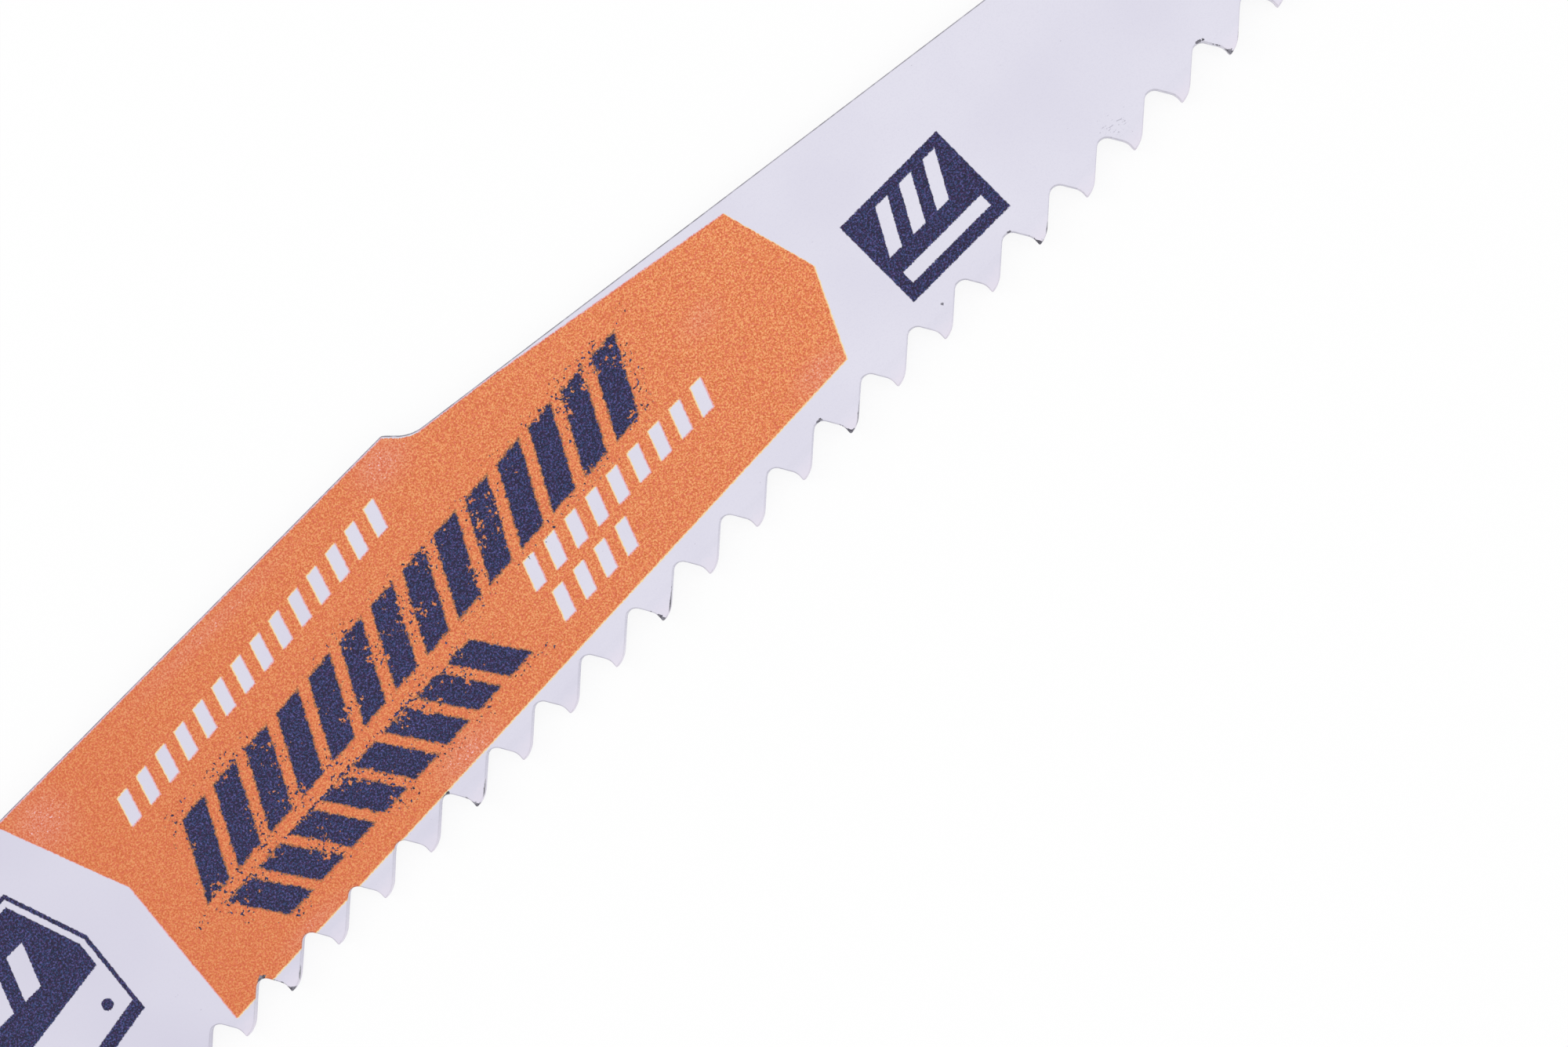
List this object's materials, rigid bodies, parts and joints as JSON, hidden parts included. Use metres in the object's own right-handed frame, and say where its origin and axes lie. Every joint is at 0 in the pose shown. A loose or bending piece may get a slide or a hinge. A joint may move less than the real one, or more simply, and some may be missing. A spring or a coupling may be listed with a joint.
{
  "type": "reciprocating saw blade",
  "caption": "Flat tapered saw blade with a milled and set tooth edge, a stepped back and a drilled tang for a reciprocating saw chuck.",
  "frame": {"origin": "centre of the tang hole, at mid thickness", "axes": "+X along the blade from the tang to the nose, +Y across it from the teeth to the back, +Z through its thickness, out of the printed face"},
  "size_m": [0.2286, 0.0254, 0.0022],
  "materials": {
    "painted_steel": "smooth satin paint"
  },
  "bodies": {
    "root": {"blade": "painted_steel"}
  },
  "joints": []
}
